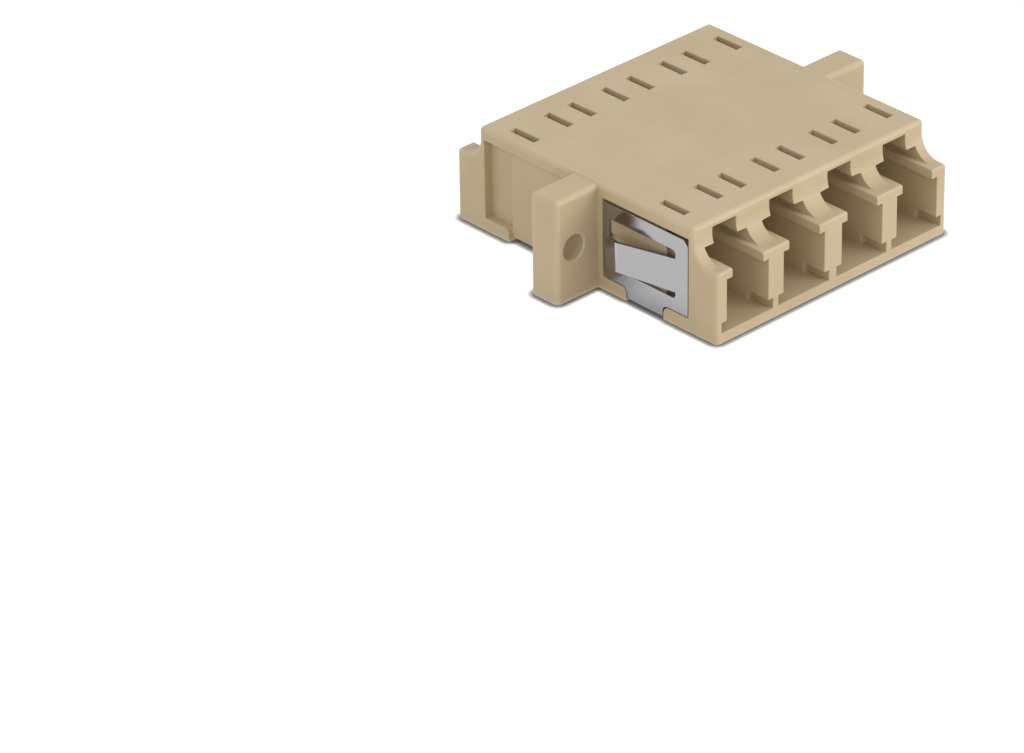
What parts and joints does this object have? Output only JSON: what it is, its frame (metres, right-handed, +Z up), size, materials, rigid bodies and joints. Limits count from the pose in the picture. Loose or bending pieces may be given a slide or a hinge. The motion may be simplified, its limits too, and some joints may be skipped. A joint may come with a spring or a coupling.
{
  "type": "lc fibre adapter",
  "caption": "Flanged panel adapter that joins small latching fibre plugs end to end in a row of square ports, with slotted roof, screw ears and a folded spring clip.",
  "frame": {"origin": "middle of the flat underside", "axes": "+X across the row of ports, +Y along the plugs towards the end without the clip, +Z up"},
  "size_m": [0.0346, 0.0292, 0.0093],
  "materials": {
    "housing": "fine matt moulded beige",
    "clip": "bright rolled spring steel",
    "holder": "fine matt moulded beige",
    "sleeve": "polished white ceramic"
  },
  "bodies": {
    "root": {"housing": "housing", "mounting_clip": "clip", "sleeve_holder_front_1": "holder", "sleeve_holder_rear_1": "holder", "sleeve_holder_front_2": "holder", "sleeve_holder_rear_2": "holder", "sleeve_holder_front_3": "holder", "sleeve_holder_rear_3": "holder", "sleeve_holder_front_4": "holder", "sleeve_holder_rear_4": "holder", "split_sleeve_1": "sleeve", "split_sleeve_2": "sleeve", "split_sleeve_3": "sleeve", "split_sleeve_4": "sleeve"}
  },
  "joints": []
}
